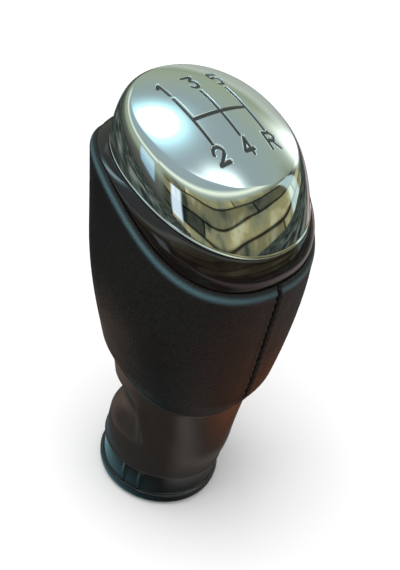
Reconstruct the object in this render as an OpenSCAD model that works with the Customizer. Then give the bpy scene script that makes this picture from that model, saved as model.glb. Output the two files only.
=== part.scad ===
// Gear shift knob: a padded leather grip under a plated cap with an engraved five-speed pattern.
// Millimetres. +Z runs up the lever, the driver sits towards -Y, and the ring's foot is at z = 0.

/* [Lever bore] */
// Radius of the gear lever that the knob is pushed onto
lever_r = 6; // [5:0.1:6.3]
// Radial play between the lever and its bush
lever_clearance = 0.05; // [0.02:0.01:0.1]
// Depth of the blind bore, measured from the mouth of the bush
bore_depth = 54.4; // [48:0.1:57]
// Wall of the bush
bush_wall = 1.55; // [1.2:0.05:1.7]
// Radial size of the bush's lower flange
bush_flange = 1.6; // [1.2:0.1:1.8]
// Height of the bush's lower flange
bush_flange_h = 2; // [1.5:0.1:2.2]
// Length of the slots that let the bush's upper end spring
slot_h = 12; // [8:1:14]
// Width of each slot
slot_w = 1.2; // [0.8:0.1:1.6]
// Thickness of the spring clip's wire
clip_wire = 1.2; // [0.9:0.1:1.4]
// Opening of the spring clip, in degrees
clip_gap = 40; // [20:5:70]

/* [Base ring] */
// Radius of the ring's flat foot
foot_r = 13.6; // [13.1:0.1:14.4]
// Radius of the flange that the gaiter is tied above
flange_r = 15.3; // [14.9:0.1:17]
// Height of the flange's upper edge
flange_z = 3.6; // [3:0.1:4.4]
// Step in from the flange's edge to the band above it
flange_step = 0.45; // [0.3:0.05:0.8]
// Radius of the band's top, just under the neck
band_r = 14.2; // [13.9:0.1:14.6]
// Height of the shoulder that the neck stands on
shoulder_z = 9.6; // [8.6:0.1:11]
// Thickness of the floor that keeps the bush in
ring_floor = 3; // [2.4:0.1:3.6]
// Height of the spigot that enters the neck
spigot_h = 3; // [2:0.1:4]
// Width of the small ribs that set the gaiter's frame
rib_w = 1; // [0.6:0.1:1.6]

/* [Neck] */
// Radius of the neck where it meets the ring
neck_foot_r = 14.9; // [14.7:0.1:16]
// Half width of the waist
waist_half_w = 15; // [14:0.1:16.5]
// Reach of the waist in front of the lever, before the finger scoop
waist_front = 14; // [13.6:0.1:15]
// Reach of the waist behind the lever
waist_rear = 16.4; // [15:0.1:18]
// Height of the waist on the lever's axis
waist_z = 22.6; // [20:0.1:25]
// Rise of the waist towards the front
waist_slope = 0.2; // [0.1:0.01:0.3]
// Depth of the finger scoop
scoop_depth = 2; // [0:0.1:2.2]
// Height of the scoop's middle
scoop_z = 30; // [27:0.5:32]
// Half of the scoop's height
scoop_half_h = 10.5; // [8:0.5:12]
// Wall of the neck
neck_wall = 2.2; // [1.8:0.1:2.4]
// Step in from the leather's lower edge to the neck
neck_step = 1; // [0.6:0.1:1.4]

/* [Head] */
// Half width of the leather's lower edge
hem_half_w = 18; // [17.6:0.1:19.5]
// Reach of the lower edge in front of the lever
hem_front = 18.4; // [17.4:0.1:19.2]
// Reach of the lower edge behind the lever
hem_rear = 17.3; // [16.6:0.1:18.5]
// Height of the lower edge on the lever's axis
hem_z = 38.4; // [36:0.1:40]
// Rise of the lower edge towards the front
hem_slope = 0.25; // [0.15:0.01:0.32]
// Half width where the head starts to swell
swell_half_w = 21.6; // [20.5:0.1:23.5]
// Reach forward where the head starts to swell
swell_front = 17.4; // [16.6:0.1:19]
// Reach back where the head starts to swell
swell_rear = 19.6; // [18.6:0.1:21]
// Height where the head starts to swell
swell_z = 45; // [43:0.1:48]
// Half width of the head at its widest
head_half_w = 26.2; // [25:0.1:28]
// Reach forward of the head at its widest
head_front = 23.4; // [22:0.1:26]
// Reach back of the head at its widest
head_rear = 20.1; // [19.6:0.1:22]
// Height of the widest section on the lever's axis
head_z = 67.4; // [62:0.1:70]
// Rise of the widest section towards the front
head_slope = 0.32; // [0.2:0.01:0.4]

/* [Leather] */
// Thickness of the leather
leather_t = 1.2; // [1:0.1:1.6]
// Thickness of the padding under it
foam_t = 2; // [1:0.1:2.6]
// Height of the hems at both edges, where the leather lies straight on the core
hem_h = 4; // [3:0.5:6]
// Height of the rounding where the leather rolls over at its top
roll_h = 1.9; // [1.2:0.1:2.4]
// Half width of the channel that the seam lies in
seam_half_w = 1.2; // [0.9:0.1:1.6]
// Depth of the seam's channel
seam_depth = 0.8; // [0.4:0.05:0.9]
// Spacing of the stitches up the seam
stitch_pitch = 2.6; // [2:0.1:3.4]
// Thickness of the thread
thread_d = 0.6; // [0.4:0.05:0.7]

/* [Collar] */
// Draw-in at each side from the head's widest section to the line where the leather meets the collar
rim_in_w = 2.2; // [1.2:0.1:2.6]
// Reach forward of that line
rim_front = 28; // [27.2:0.1:29]
// Reach back of that line
rim_rear = 18.9; // [18.8:0.1:20]
// Height of that line at the sides
rim_z = 83.2; // [82:0.1:84]
// Rise of that line towards the front
rim_slope = 0.33; // [0.28:0.01:0.36]
// Drop of that line at the front and at the rear
rim_bow = 4.4; // [3.5:0.1:5]
// Dip of that line between the sides and the rear
rim_sweep = 5.7; // [4:0.1:6.5]
// Wall of the collar
collar_wall = 2.2; // [1.8:0.1:2.6]
// Depth of the collar's skirt behind the leather
skirt_h = 3; // [2:0.1:4]
// Thickness of the collar's floor
floor_t = 2.4; // [2:0.1:3]
// Thickness of the collar's floor below the cap's edge
floor_drop = 3; // [2.6:0.1:4]
// Half width of the opening in the collar's floor
window_half_w = 7.5; // [5:0.5:9]

/* [Cap] */
// Draw-in at each side from the leather's upper line to the plated cap's lower edge
cap_in_w = 2.4; // [1.8:0.1:3.2]
// Reach forward of the cap's lower edge
cap_front = 26.4; // [25.6:0.1:27]
// Reach back of the cap's lower edge
cap_rear = 17.4; // [16.8:0.1:17.8]
// Height of the cap's lower edge at the sides
cap_z = 85.4; // [85:0.1:86.4]
// Rise of the cap's lower edge towards the front
cap_slope = 0.28; // [0.24:0.01:0.32]
// Drop of the cap's lower edge at the front and at the rear
cap_bow = 1.8; // [1:0.1:2.4]
// Wall of the cap
cap_wall = 2; // [1.6:0.1:2.4]
// Draw-in at each side from the cap's lower edge to the oval top face
top_in_w = 3.8; // [2.8:0.1:4.6]
// Reach forward of the top face
top_front = 23.3; // [22.4:0.1:24]
// Reach back of the top face
top_rear = 10.2; // [9.4:0.1:11.4]
// Height of the top face's edge at the sides
top_z = 95.3; // [94:0.1:97]
// Rise of the top face towards the front
top_slope = 0.285; // [0.24:0.01:0.32]
// Height that the top face domes up
dome_h = 2.9; // [2:0.1:4]
// Share by which the sharp corner behind the rounded shoulder stands out of the top face
shoulder = 0.08; // [0.04:0.01:0.11]

/* [Shift pattern] */
// Spacing of the gate's columns
gate_pitch = 7.5; // [6:0.1:8]
// Half length of the gate's columns
gate_half = 6.1; // [5.5:0.1:7]
// Height of the figures
figure_h = 3.6; // [3.4:0.1:4.4]
// Width of the figures
figure_w = 2.5; // [2:0.1:3]
// Gap between the front figures and the gate
front_gap = 1.3; // [0.8:0.1:1.6]
// Gap between the rear figures and the gate
rear_gap = 0.8; // [0.6:0.1:1.2]
// Distance of the gate's crossbar in front of the lever
gate_y = 6.41; // [5.5:0.01:7.5]
// Width of the engraved lines
line_w = 0.8; // [0.6:0.05:1]
// Depth of the engraving
engraving = 0.6; // [0.4:0.05:0.8]
// Distance that the enamel in it lies below the surface
enamel_drop = 0.15; // [0.05:0.05:0.2]

/* [Fastening] */
// Radius of the screws that hold the collar
screw_r = 1.25; // [1:0.05:1.4]
// Radius of their heads
screw_head_r = 2.5; // [2.2:0.1:2.7]
// Height of their heads
screw_head_h = 1.6; // [1.2:0.1:1.8]
// Length of the screws under the head
screw_len = 10; // [8:0.5:12]
// Distance of the front screw from the cap's middle
screw_front = 14; // [12:0.5:15]
// Distance to the side of the two rear screws
screw_side = 12; // [10:0.5:13]
// Distance of the two rear screws behind the cap's middle
screw_rear = 8; // [6:0.5:9]
// Wall of the core
core_wall = 2.4; // [2:0.1:3]
// Thickness of the core's ribs
rib_t = 1.8; // [1.4:0.1:2.4]
// Width of the cap's snap legs
leg_w = 5; // [4:0.5:7]
// Thickness of the cap's snap legs
leg_t = 1.5; // [1.2:0.1:1.8]

/* [Hidden] */

// Facets of the round parts and of the moulded shells
$fn = 72;
SIDES = 56;
// Play between pieces that lie against each other
fit = 0.1;
// Distance that a cut runs past the surface that it opens
past = 1;
// Roundness of the sections: 2 is an ellipse, and more is squarer
NECK_FORM = 2;
HEAD_FORM = 2.25;
TOP_FORM = 2.15;

// A section is [half width, front reach, rear reach, middle y, middle z, slope, bow, sweep, form].
function section(w, front, rear, y, z, slope, bow = 0, sweep = 0, form = HEAD_FORM) =
    [w, front - y, rear + y, y, z, slope, bow, sweep, form];
function inset(s, d) = [for (i = [0:8]) i < 3 ? s[i] - d : s[i]];
function raised(s, h) = [for (i = [0:8]) i == 4 ? s[i] + h : s[i]];
function scaled(s, k) = [for (i = [0:8]) i < 3 ? s[i] * k : s[i]];
function mixed(a, b, t) = a + (b - a) * t;
function signed_power(v, e) = sign(v) * pow(abs(v), e);

// The point of a section at an angle: 0 is the right side and 90 the front.
function edge_point(s, angle) =
    let (
        across = signed_power(cos(angle), 2 / s[8]),
        along = signed_power(sin(angle), 2 / s[8]),
        y = (along > 0 ? s[1] : s[2]) * along,
        z = s[4] + s[5] * y - s[6] * along * along + s[7] * (along - pow(along, 3))
    )
    [s[0] * across, s[3] + y, z];

// Smooth course through a list of sections, with no overshoot between them.
function knot_slope(k, i, c) =
    let (
        last = len(k) - 1,
        before = i > 0 ? (k[i][c] - k[i - 1][c]) / (k[i][4] - k[i - 1][4]) : 0,
        after = i < last ? (k[i + 1][c] - k[i][c]) / (k[i + 1][4] - k[i][4]) : 0
    )
    i == 0 ? after : i == last ? before : before * after <= 0 ? 0 : 2 * before * after / (before + after);
function between(k, i, z, c) =
    let (
        h = k[i + 1][4] - k[i][4],
        t = (z - k[i][4]) / h,
        a = knot_slope(k, i, c) * h,
        b = knot_slope(k, i + 1, c) * h,
        p = k[i][c],
        q = k[i + 1][c]
    )
    p + t * (a + t * (3 * (q - p) - 2 * a - b + t * (2 * (p - q) + a + b)));
function piece_of(k, z, i = 0) = i >= len(k) - 2 || z <= k[i + 1][4] ? i : piece_of(k, z, i + 1);
function course(k, z) =
    let (i = piece_of(k, z))
    [for (c = [0:8]) c == 4 ? z : between(k, i, z, c)];

// The driving sections, each with the y of its widest place
SWELL_Y = 1;
SWELL_SLOPE = 0.24;
HEAD_Y = 3.4;
HEAD_BOW = 0.6;
HEAD_SWEEP = 1;
CAP_Y = 4.6;
TOP_Y = 7.2;
RIM_HALF_W = head_half_w - rim_in_w;
RIM = section(RIM_HALF_W, rim_front, rim_rear, CAP_Y, rim_z, rim_slope, rim_bow, rim_sweep);
ROLL = raised(inset(RIM, -leather_t), -roll_h);
HEM = section(hem_half_w, hem_front, hem_rear, 0, hem_z, hem_slope);
HEAD = [
    HEM,
    section(swell_half_w, swell_front, swell_rear, SWELL_Y, swell_z, SWELL_SLOPE),
    section(head_half_w, head_front, head_rear, HEAD_Y, head_z, head_slope, HEAD_BOW, HEAD_SWEEP),
    ROLL,
];
NECK_TOP = raised(inset(HEM, neck_step), -fit);
NECK = [
    section(neck_foot_r, neck_foot_r, neck_foot_r, 0, shoulder_z + fit, 0, 0, 0, NECK_FORM),
    section(waist_half_w, waist_front, waist_rear, 0, waist_z, waist_slope, 0, 0, NECK_FORM),
    NECK_TOP,
];
CAP_HALF_W = RIM_HALF_W - cap_in_w;
TOP_HALF_W = CAP_HALF_W - top_in_w;
CAP = section(CAP_HALF_W, cap_front, cap_rear, CAP_Y, cap_z, cap_slope, cap_bow, 0, TOP_FORM);
TOP = section(TOP_HALF_W, top_front, top_rear, TOP_Y, top_z, top_slope, 0, 0, TOP_FORM);
CORNER = raised(scaled(TOP, 1 + shoulder), -2 * dome_h * shoulder);

// Solids made of rings of points: a closed tube round the axis, or a stack with two flat ends
ANGLES = [for (i = [0:SIDES - 1]) i * 360 / SIDES];
function ring(s, angles = ANGLES) = [for (a = angles) edge_point(s, a)];
function band_faces(n, lower, upper) = [for (i = [0:n - 1]) let (j = (i + 1) % n)
    each [[lower * n + i, upper * n + j, lower * n + j], [lower * n + i, upper * n + i, upper * n + j]]];
module tube(rings) {
    n = len(rings[0]);
    m = len(rings);
    polyhedron([for (r = rings) each r], [for (k = [0:m - 1]) each band_faces(n, k, (k + 1) % m)]);
}
function middle_of(r) = [for (p = r) 1] * r / len(r);
module stack(rings) {
    n = len(rings[0]);
    m = len(rings);
    bottom = [for (i = [0:n - 1]) [i, (i + 1) % n, n * m]];
    top = [for (i = [0:n - 1]) [(m - 1) * n + (i + 1) % n, (m - 1) * n + i, n * m + 1]];
    polyhedron([for (r = rings) each r, middle_of(rings[0]), middle_of(rings[m - 1])],
        concat(bottom, top, [for (k = [0:m - 2]) each band_faces(n, k, k + 1)]));
}

// Leather cover, with its rolled top edge and the seam's channel down the rear
ROLL_STEPS = 4;
PAD_STEPS = 9;
CORE_LIP = 2.4;
ROLL_Z = ROLL[4];
CHANNEL = asin(seam_half_w / rim_rear);
BESIDE_SEAM = 1.5 * CHANNEL;
LEATHER_ANGLES = [
    for (a = ANGLES) if (a < 270 - BESIDE_SEAM) a,
    270 - CHANNEL, 270 - CHANNEL / 2, 270, 270 + CHANNEL / 2, 270 + CHANNEL,
    for (a = ANGLES) if (a > 270 + BESIDE_SEAM) a,
];
// Shares of the head's height, shared by the leather, the padding and the core so that they nest
function share_of(h) = h / (ROLL_Z - hem_z);
function pad_share(i) = mixed(share_of(hem_h), 1 - share_of(skirt_h + CORE_LIP), i / PAD_STEPS);
HEAD_SHARES = concat([share_of(hem_h) / 2], [for (i = [0:PAD_STEPS]) pad_share(i)],
    [1 - share_of(skirt_h), 1]);
function head_at(share) = course(HEAD, mixed(hem_z, ROLL_Z, share));
function channel_depth(angle) =
    let (d = abs(angle - 270) / CHANNEL)
    d >= 0.99 ? 0 : seam_depth * (d > 0.4 ? 0.9 : 1);
HEM_TURN = head_at(share_of(leather_t / 2));
function leather_ring(s, cut = 1) =
    [for (a = LEATHER_ANGLES) edge_point(inset(s, cut * channel_depth(a)), a)];
function leather_roll(t) = raised(inset(ROLL, leather_t * (1 - cos(90 * t))), roll_h * sin(90 * t));
function hem_roll(t) =
    raised(inset(HEM_TURN, leather_t * (1 - t)), -leather_t / 2 * sqrt(1 - pow(2 * t - 1, 2)));
module leather_cover() {
    outer = [for (share = HEAD_SHARES) leather_ring(head_at(share))];
    rolled = [for (i = [1:ROLL_STEPS - 1]) leather_ring(leather_roll(i / ROLL_STEPS), 1 - i / ROLL_STEPS)];
    inner = [for (i = [len(HEAD_SHARES) - 1:-1:0])
        ring(inset(head_at(HEAD_SHARES[i]), leather_t), LEATHER_ANGLES)];
    hem = [for (t = [0, 0.15, 0.5, 0.85, 1]) ring(hem_roll(t), LEATHER_ANGLES)];
    top = [ring(RIM, LEATHER_ANGLES)];
    color("#1b1a1c") tube(concat(outer, rolled, top, inner, hem));
}

// Stitches that cross the seam's channel
STITCH_TOP = ROLL_Z - 2;
STITCH_LOW = hem_z + 3;
STITCH_GAP = thread_d * 0.3;
STITCH_COUNT = floor((STITCH_TOP - STITCH_LOW) / stitch_pitch);
function seam_point(z) = edge_point(inset(course(HEAD, z), seam_depth - thread_d / 2 - fit / 2), 270);
module stitch(z, side) {
    low = seam_point(z - stitch_pitch / 2);
    high = seam_point(z + stitch_pitch / 2);
    reach = seam_half_w / 2 - thread_d / 2;
    start = [-side * reach, low[1], low[2]];
    end = [side * reach, high[1], high[2]];
    run = end - start;
    length = norm(run);
    translate(start)
        rotate([0, acos(run[2] / length), atan2(run[1], run[0])])
            translate([0, 0, STITCH_GAP]) cylinder(h = length - 2 * STITCH_GAP, d = thread_d, $fn = 16);
}
module seam_thread() {
    color("#0c0c0d")
        for (i = [0:STITCH_COUNT - 1]) stitch(STITCH_TOP - i * stitch_pitch, i % 2 == 0 ? 1 : -1);
}

// Padding between the leather and the core
PAD_OUT = leather_t + fit;
PAD_IN = PAD_OUT + foam_t;
module foam_pad() {
    outer = [for (i = [0:PAD_STEPS]) ring(inset(head_at(pad_share(i)), PAD_OUT))];
    inner = [for (i = [PAD_STEPS:-1:0]) ring(inset(head_at(pad_share(i)), PAD_IN))];
    color("#4a4a48") tube(concat(outer, inner));
}

// Moulded core: flanges at both ends, a tube for the bush, ribs and screw bosses
TUBE_WALL = 1.5;
CLIP_ROOM = clip_wire + 0.6;
BUSH_R = lever_r + lever_clearance + bush_wall;
TUBE_R = BUSH_R + fit;
NECK_TUBE_R = TUBE_R + TUBE_WALL;
HEAD_TUBE_R = TUBE_R + CLIP_ROOM + TUBE_WALL;
BUSH_TOP = bore_depth + bush_wall;
BUSH_FLANGE_Z = ring_floor + fit;
TUBE_FOOT = BUSH_FLANGE_Z + bush_flange_h + fit;
SLOT_Z = BUSH_TOP - slot_h;
CORE_IN = PAD_IN + fit + core_wall;
CORE_FLOOR = 3;
CORE_RIM = inset(head_at(1 - share_of(skirt_h + fit)), PAD_OUT);
FLANGE_W = 4.5;
RIB_COUNT = 4;
BOSS_R = 3.2;
PAD_H = 1.6;
HEAD_SINK = 0.8;
TUBE_ABOVE = 1;
RIB_BELOW = 4;
SCREW_SPARE = 1;
OVERLAP = 0.01;
SCREWS = [[0, screw_front], [screw_side, -screw_rear], [-screw_side, -screw_rear]];
function floor_height(y) = cap_z - floor_drop + cap_slope * (y - CAP_Y);
function head_seat(p) = floor_height(CAP_Y + p[1]) - HEAD_SINK;
function pad_foot(p) = floor_height(CAP_Y + p[1]) - floor_t - PAD_H;
module at_screw(p, z) {
    translate([p[0], CAP_Y + p[1], z]) children();
}
module core_outside() {
    hem = [for (h = [0, hem_h / 2, hem_h - fit]) ring(inset(head_at(share_of(h)), PAD_OUT))];
    waist = [for (i = [0:PAD_STEPS]) ring(inset(head_at(pad_share(i)), PAD_IN + fit))];
    lip = ring(inset(head_at(1 - share_of(skirt_h + CORE_LIP - fit)), PAD_OUT));
    stack(concat(hem, waist, [lip, ring(CORE_RIM), ring(inset(CORE_RIM, FLANGE_W + past))]));
}
module core_cavity() {
    foot = ring(inset(raised(HEM, CORE_FLOOR), CORE_IN));
    waist = [for (i = [0:PAD_STEPS]) ring(inset(head_at(pad_share(i)), CORE_IN))];
    difference() {
        stack(concat([foot], waist, [ring(inset(raised(CORE_RIM, past), FLANGE_W))]));
        cylinder(h = BUSH_TOP + TUBE_ABOVE, r = HEAD_TUBE_R);
        for (p = SCREWS) at_screw(p, 0) cylinder(h = pad_foot(p) - fit, r = BOSS_R);
        for (i = [0:RIB_COUNT - 1]) rotate([0, 0, 45 + i * 360 / RIB_COUNT])
            translate([0, -rib_t / 2, 0]) cube([head_half_w, rib_t, BUSH_TOP - RIB_BELOW]);
    }
}
module grip_core() {
    color("#2b2b2e")
        difference() {
            union() {
                core_outside();
                translate([0, 0, TUBE_FOOT]) cylinder(h = hem_z - TUBE_FOOT, r = NECK_TUBE_R);
            }
            core_cavity();
            cylinder(h = SLOT_Z, r = TUBE_R);
            translate([0, 0, SLOT_Z - OVERLAP]) cylinder(h = head_half_w * 2, r = TUBE_R + CLIP_ROOM);
            for (p = SCREWS) at_screw(p, head_seat(p) - screw_len - SCREW_SPARE)
                cylinder(h = screw_len, r = screw_r);
        }
}

// Neck: one moulded shell with a finger scoop on both sides of its front
NECK_STEPS = 14;
SCOOP_LOW_EDGE = -22;
SCOOP_LOW_Z = 18.6;
SCOOP_SOFT = 20;
NECK_WEB = 3;
WEB_STEP = 1;
function front_angle(a) = 90 - abs(90 - (a > 270 ? a - 360 : a));
function scoop_edge(z) = min(0, SCOOP_LOW_EDGE * (hem_z - z) / (hem_z - SCOOP_LOW_Z));
function scoop_round(x) = x <= 0 ? 0 : x >= 1 ? 1 : 1 - pow(1 - x, 2);
function scoop_height(z) = let (d = abs(z - scoop_z) / scoop_half_h) d >= 1 ? 0 : pow(cos(90 * d), 2);
function scoop(z, a) =
    scoop_depth * scoop_height(z) * scoop_round((front_angle(a) - scoop_edge(z)) / SCOOP_SOFT);
function neck_point(s, a) =
    let (p = edge_point(s, a), k = 1 - scoop(p[2], a) / norm([p[0], p[1]]))
    [p[0] * k, p[1] * k, p[2]];
function neck_at(share) = course(NECK, mixed(NECK[0][4], NECK_TOP[4], share));
module neck_shell() {
    outside = [for (i = [0:NECK_STEPS]) [for (a = ANGLES) neck_point(neck_at(i / NECK_STEPS), a)]];
    web = raised(inset(NECK_TOP, neck_wall + WEB_STEP), -NECK_WEB);
    inside = [for (i = [1:NECK_STEPS - 3]) [for (a = ANGLES)
        neck_point(inset(neck_at(i / NECK_STEPS), neck_wall), a)]];
    color("#353130")
        difference() {
            stack(outside);
            intersection() {
                stack(concat(inside, [ring(web)]));
                translate([0, 0, shoulder_z + spigot_h]) cylinder(h = hem_z, r = head_half_w);
            }
            cylinder(h = head_half_w * 2, r = NECK_TUBE_R + fit);
            translate([0, 0, shoulder_z - past]) cylinder(h = spigot_h + past + fit, r = SPIGOT_R + fit);
        }
}

// Ring that closes the neck's foot, takes the gaiter and keeps the bush in
SPIGOT_R = neck_foot_r - neck_wall - fit;
FOOT_ARC = 6;
FOOT_RISE = 0.8;
RIB_ANGLES = [188, 206, 334, 352];
RING_EDGE = 0.2;
RIB_OUT = 0.4;
RIB_IN = 1;
module base_ring() {
    side_h = flange_z - FOOT_RISE;
    foot_edge = [for (i = [0:FOOT_ARC]) let (t = 90 * i / FOOT_ARC)
        [foot_r + (flange_r - foot_r) * sin(t), side_h * (1 - cos(t))]];
    color("#0b0b0d") {
        rotate_extrude() polygon(concat(foot_edge, [
            [flange_r, flange_z - RING_EDGE], [flange_r - RING_EDGE, flange_z],
            [flange_r - flange_step, flange_z], [band_r, shoulder_z], [SPIGOT_R, shoulder_z],
            [SPIGOT_R, shoulder_z + spigot_h],
            [NECK_TUBE_R + fit, shoulder_z + spigot_h], [NECK_TUBE_R + fit, ring_floor],
            [BUSH_R + fit, ring_floor], [BUSH_R + fit, 0]]));
        for (a = RIB_ANGLES) rotate([0, 0, a])
            translate([band_r - RIB_IN, -rib_w / 2, flange_z - RING_EDGE])
                cube([RIB_IN + RIB_OUT, rib_w, shoulder_z - flange_z + RING_EDGE]);
    }
}

// Bush that grips the lever, sprung by slots and a wire clip at its upper end
CLIP_BELOW = 4;
CLIP_Z = BUSH_TOP - CLIP_BELOW;
CLIP_GROOVE = clip_wire / 2;
module lever_bush() {
    bore = lever_r + lever_clearance;
    color("#c9c4b4")
        difference() {
            rotate_extrude() polygon([
                [bore, 0], [BUSH_R, 0], [BUSH_R, BUSH_FLANGE_Z], [BUSH_R + bush_flange, BUSH_FLANGE_Z],
                [BUSH_R + bush_flange, BUSH_FLANGE_Z + bush_flange_h],
                [BUSH_R, BUSH_FLANGE_Z + bush_flange_h], [BUSH_R, CLIP_Z - clip_wire / 2],
                [BUSH_R - CLIP_GROOVE, CLIP_Z - clip_wire / 2],
                [BUSH_R - CLIP_GROOVE, CLIP_Z + clip_wire / 2],
                [BUSH_R, CLIP_Z + clip_wire / 2], [BUSH_R, BUSH_TOP], [0, BUSH_TOP],
                [0, BUSH_TOP - bush_wall], [bore, BUSH_TOP - bush_wall]]);
            for (i = [0:1]) rotate([0, 0, i * 90])
                translate([-BUSH_R - past, -slot_w / 2, SLOT_Z])
                    cube([2 * (BUSH_R + past), slot_w, slot_h - bush_wall]);
        }
}
module bush_clip() {
    color("#9a9da0")
        rotate([0, 0, 45 + clip_gap / 2]) rotate_extrude(angle = 360 - clip_gap)
            translate([BUSH_R - CLIP_GROOVE + clip_wire / 2 + fit / 2, CLIP_Z])
                circle(d = clip_wire - fit, $fn = 24);
}

// Glossy collar between the leather and the cap, with the floor that carries the cap
COLLAR_STEPS = 3;
WINDOW_SLOPE = section(window_half_w, CAP_Y + window_half_w, window_half_w - CAP_Y, CAP_Y, cap_z, cap_slope);
LEDGE = cap_wall + fit;
SPIGOT_WALL = 1.4;
CAP_SPIGOT = 0.25;
LEG_IN = 2.6;
LEG_X = CAP_HALF_W - LEDGE - SPIGOT_WALL - LEG_IN;
LEG_ROOM = 1.2;
COLLAR_BULGE = 0.9;
FLOOR_EDGE = 0.2;
CUT_H = 12;
SKIRT_FOOT = inset(head_at(1 - share_of(skirt_h)), PAD_OUT);
module collar_body() {
    skirt = inset(RIM, fit);
    face = [for (i = [0:COLLAR_STEPS]) let (t = i / COLLAR_STEPS)
        ring(inset(mixed(skirt, CAP, t), -COLLAR_BULGE * sin(180 * t)))];
    spigot = inset(CAP, LEDGE);
    spigot_top = inset(wall_at(CAP_SPIGOT), LEDGE);
    hollow = raised(inset(CAP, LEDGE + SPIGOT_WALL), -floor_drop);
    flat_hollow = [for (i = [0:8]) i == 6 ? 0 : hollow[i]];
    under = raised(inset(flat_hollow, FLOOR_EDGE), -floor_t);
    tube(concat(
        [ring(raised(WINDOW_SLOPE, -floor_drop - floor_t)), ring(under)],
        [ring(inset(SKIRT_FOOT, collar_wall)), ring(SKIRT_FOOT), ring(inset(ROLL, PAD_OUT))],
        face,
        [ring(spigot), ring(spigot_top), ring(inset(spigot_top, SPIGOT_WALL))],
        [ring(flat_hollow), ring(raised(WINDOW_SLOPE, -floor_drop))]));
}
module upper_collar() {
    color("#0d0b0b")
        difference() {
            union() {
                collar_body();
                for (p = SCREWS) at_screw(p, pad_foot(p)) cylinder(h = PAD_H + floor_t / 2, r = BOSS_R);
            }
            for (p = SCREWS) {
                at_screw(p, pad_foot(p) - past) cylinder(h = CUT_H, r = screw_r + 2 * fit);
                at_screw(p, head_seat(p)) cylinder(h = CUT_H, r = screw_head_r + 2 * fit);
            }
            for (side = [-1, 1]) translate([side * LEG_X, CAP_Y, cap_z - floor_drop])
                cube([leg_t + 2 * LEG_ROOM, leg_w + LEG_ROOM, CUT_H], center = true);
        }
}
module collar_screws() {
    color("#8d9094")
        for (p = SCREWS) at_screw(p, head_seat(p)) {
            cylinder(h = screw_head_h, r = screw_head_r);
            translate([0, 0, -screw_len]) cylinder(h = screw_len, r = screw_r);
        }
}

// Plated cap: a wall that leans in, a rounded shoulder and a domed top
DOME_STEPS = 7;
SHOULDER_STEPS = 4;
WALL_STEPS = 3;
WALL_BULGE = 0.5;
POLE = 0.08;
CAP_FOOT = raised(CAP, fit / 2);
function dome_at(k) = raised(scaled(TOP, k), dome_h * (1 - k * k));
function wall_at(t) = inset(mixed(CAP_FOOT, CORNER, t), -WALL_BULGE * sin(180 * t));
SHOULDER_START = 0.7;
CUT_BELOW = 0.12;
BARB_H = 1.2;
BARB_OUT = 0.4;
function shoulder_at(t) = mixed(mixed(wall_at(SHOULDER_START), CORNER, t), mixed(CORNER, TOP, t), t);
function dome_share(i) = mixed(1, POLE, i / DOME_STEPS);
function turned_angles(i) = [for (a = ANGLES) a - i * 180 / SIDES];
function cap_rings(drop) = concat(
    [ring(raised(inset(CAP_FOOT, cap_wall + past), -drop))],
    [for (i = [0:WALL_STEPS]) ring(raised(wall_at(SHOULDER_START * i / WALL_STEPS), -drop))],
    [for (i = [1:SHOULDER_STEPS]) ring(raised(shoulder_at(i / SHOULDER_STEPS), -drop))],
    [for (i = [1:DOME_STEPS]) ring(raised(dome_at(dome_share(i)), -drop), turned_angles(i))]);
module cap_outside(drop = 0) {
    stack(cap_rings(drop));
}
module cap_inside() {
    wall = [for (i = [0:WALL_STEPS])
        inset(wall_at(i == 0 ? -CUT_BELOW : SHOULDER_START * i / WALL_STEPS), cap_wall)];
    turned = [for (i = [1:SHOULDER_STEPS]) raised(inset(shoulder_at(i / SHOULDER_STEPS), cap_wall),
        -cap_wall * i / SHOULDER_STEPS)];
    roof = [for (i = [1:DOME_STEPS])
        raised(scaled(dome_at(dome_share(i)), 1 - cap_wall / TOP_HALF_W), -cap_wall)];
    stack([for (s = concat(wall, turned, roof)) ring(s, turned_angles(1))]);
}
module cap_legs() {
    for (side = [-1, 1]) translate([side * LEG_X, CAP_Y, 0]) {
        foot = cap_z - floor_drop - floor_t - BARB_H - fit;
        translate([-leg_t / 2, -leg_w / 2, foot]) cube([leg_t, leg_w, top_z - foot]);
        translate([side * leg_t / 2 - BARB_OUT, -leg_w / 2, foot]) cube([2 * BARB_OUT, leg_w, BARB_H]);
    }
}
module chrome_cap() {
    color("#cfd3d6")
        difference() {
            union() {
                difference() {
                    cap_outside();
                    cap_inside();
                }
                intersection() {
                    cap_legs();
                    union() {
                        cap_outside(cap_wall / 2);
                        cylinder(h = cap_z, r = head_half_w);
                    }
                }
            }
            pattern(line_w, engraving);
        }
}

// Engraved gate with its figures, and the enamel that fills it
ARC_STEP = 30;
PATTERN_RISE = 18;
PATTERN_DROP = 6;
STROKE_SIDES = 12;
STROKE_TURN = 6;
function arc(x, y, r, from, to) =
    [for (a = [from:(to > from ? ARC_STEP : -ARC_STEP):to]) [x + r * cos(a), y + r * sin(a)]];
module stroke(points, w) {
    for (i = [0:len(points) - 2]) hull() {
        translate(points[i]) rotate(STROKE_TURN) circle(d = w, $fn = STROKE_SIDES);
        translate(points[i + 1]) rotate(STROKE_TURN) circle(d = w, $fn = STROKE_SIDES);
    }
}
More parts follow.
